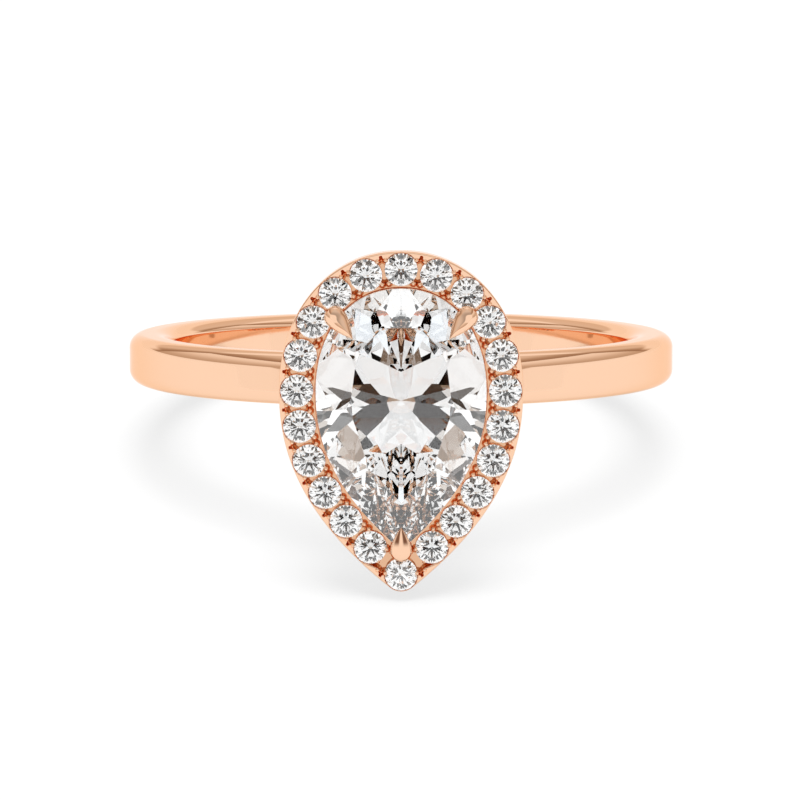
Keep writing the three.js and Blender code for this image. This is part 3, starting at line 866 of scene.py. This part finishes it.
def ramp01(x, lo, hi, smooth=True):
    """0 at lo, 1 at hi (lo may be above hi)"""
    n = wt.nodes.new("ShaderNodeMapRange")
    n.clamp = True
    n.interpolation_type = "SMOOTHSTEP" if smooth else "LINEAR"
    rev = lo > hi
    n.inputs["From Min"].default_value = min(lo, hi)
    n.inputs["From Max"].default_value = max(lo, hi)
    n.inputs["To Min"].default_value = 1.0 if rev else 0.0
    n.inputs["To Max"].default_value = 0.0 if rev else 1.0
    wt.links.new(x, n.inputs["Value"])
    return n.outputs["Result"]


def mixf(f, a, b):
    return M("ADD", M("MULTIPLY", f, M("SUBTRACT", b, a)), a)


tc = wt.nodes.new("ShaderNodeTexCoord")
sep = wt.nodes.new("ShaderNodeSeparateXYZ")
wt.links.new(tc.outputs["Generated"], sep.inputs[0])
X, Y, Z = sep.outputs[0], sep.outputs[1], sep.outputs[2]
AX = M("MAXIMUM", M("ABSOLUTE", X), 0.001)
U = M("DIVIDE", Y, AX)                                  # + behind the ring, - towards the camera
V = M("DIVIDE", Z, AX)
DEG = 180 / math.pi
EL = M("MULTIPLY", M("ARCSINE", Z), DEG)
AZ = M("MULTIPLY", M("ARCTAN2", M("ABSOLUTE", X), M("MULTIPLY", Y, -1.0)), DEG)   # 0 towards the camera, 180 behind

# a large graded screen stands on either side, dark along its foot; above and behind it the room is dark and
# opens up to white
screen = mixf(ramp01(V, 0.10, 0.80), 0.56, 0.92)
over = M("DIVIDE", M("SUBTRACT", V, 0.90), 0.95)
past = M("DIVIDE", M("SUBTRACT", U, 0.84), 1.1)
above = M("ADD", M("MULTIPLY", ramp01(over, 0.0, 1.0), 0.38), 0.36)
behind = mixf(ramp01(EL, 33.0, 39.0), M("ADD", M("MULTIPLY", ramp01(past, 0.0, 0.8), 0.40), 0.36), M("ADD", M("MULTIPLY", ramp01(past, 0.0, 0.5), 0.64), 0.36))
around = M("MAXIMUM", above, M("MULTIPLY", behind, ramp01(past, -0.01, 0.01)))
inside = ramp01(M("MAXIMUM", over, past), 0.004, -0.004)
side = mixf(inside, around, screen)
# below the screen's foot the white table carries on
side = mixf(ramp01(V, 0.112, 0.097), side, 1.0)
# and runs up as a white sweep at the far end
side = mixf(M("MULTIPLY", ramp01(EL, 13.0, 9.0), ramp01(AZ, 130.0, 145.0)), side, 1.0)
# towards the camera: the dark camera itself, a black bank over it, and two black upright flags
front = mixf(M("MULTIPLY", ramp01(EL, 29.0, 30.0), ramp01(EL, 49.0, 48.0)), 1.0, 0.04)
flags = M("MULTIPLY", M("MULTIPLY", ramp01(AZ, 16.0, 17.0), ramp01(AZ, 29.0, 28.0)), ramp01(EL, 30.0, 29.0))
front = mixf(flags, front, 0.06)
cam_d = M("SQRT", M("ADD", M("POWER", M("SUBTRACT", EL, 17.5), 2.0), M("POWER", M("MULTIPLY", AZ, 0.93), 2.0)))
front = mixf(ramp01(cam_d, 11.0, 10.0), front, 0.03)
plain_front = mixf(ramp01(EL, 30.0, 32.0), 1.0, mixf(ramp01(EL, 34.0, 66.0), 0.46, 0.74))
lp = wt.nodes.new("ShaderNodeLightPath")
front = mixf(lp.outputs["Is Singular Ray"], plain_front, front)
grey = mixf(ramp01(AZ, 46.0, 40.0), side, front)
# the stones' own room is the same one with deeper darks
crisp = M("MAXIMUM", M("DIVIDE", M("SUBTRACT", grey, 0.45), 0.48), 0.006)
grey = mixf(lp.outputs["Is Singular Ray"], grey, crisp)
rgb = wt.nodes.new("ShaderNodeCombineColor")
wt.links.new(grey, rgb.inputs[0])
wt.links.new(M("POWER", grey, mixf(ramp01(AZ, 40.0, 46.0), 1.05, 1.33)), rgb.inputs[1])
wt.links.new(M("POWER", grey, mixf(ramp01(AZ, 40.0, 46.0), 1.09, 1.66)), rgb.inputs[2])
# matt surfaces get the room's even, neutral light; polished ones see the room itself
path = wt.nodes.new("ShaderNodeLightPath")
pick = wt.nodes.new("ShaderNodeMix")
pick.data_type = "RGBA"
wt.links.new(path.outputs["Is Diffuse Ray"], pick.inputs[0])
wt.links.new(rgb.outputs[0], pick.inputs[6])
pick.inputs[7].default_value = (0.085, 0.085, 0.085, 1)
wt.links.new(pick.outputs[2], bg.inputs["Color"])
bg.inputs["Strength"].default_value = 1.035

# a soft lamp straight overhead: it only draws the shadow on the table
lamp_data = bpy.data.lights.new("overhead", "SUN")
lamp_data.angle = math.radians(42)
lamp_data.energy = 0.66
lamp = bpy.data.objects.new("overhead", lamp_data)
lamp.rotation_euler = (math.radians(3), 0, 0)
lamp.visible_glossy = False
lamp.visible_transmission = False
scene.collection.objects.link(lamp)

D, FPX, EPS = 125.0, 3383.0, 5.07
elev = math.radians(EPS) + TILT
cam_data = bpy.data.cameras.new("camera")
cam = bpy.data.objects.new("camera", cam_data)
scene.collection.objects.link(cam)
target = Vector((0.0, CENTRE[1] * MM, CENTRE[2] * MM))
direction = Vector((0, -math.cos(elev), math.sin(elev)))
cam.location = target + direction * D * MM
cam.rotation_euler = (target - cam.location).to_track_quat("-Z", "Y").to_euler()
cam_data.sensor_width = 36.0
cam_data.lens = FPX / 800.0 * 36.0
cam_data.shift_x = -1.1 / 800.0
cam_data.shift_y = -44.2 / 800.0
cam_data.clip_start = 0.001
cam_data.clip_end = 10.0
scene.camera = cam

scene.view_settings.view_transform = "Standard"
scene.view_settings.look = "None"
scene.cycles.max_bounces = 32
scene.cycles.transmission_bounces = 24
scene.cycles.glossy_bounces = 15
scene.cycles.caustics_reflective = False
scene.cycles.caustics_refractive = False
scene.cycles.diffuse_bounces = 4

import json
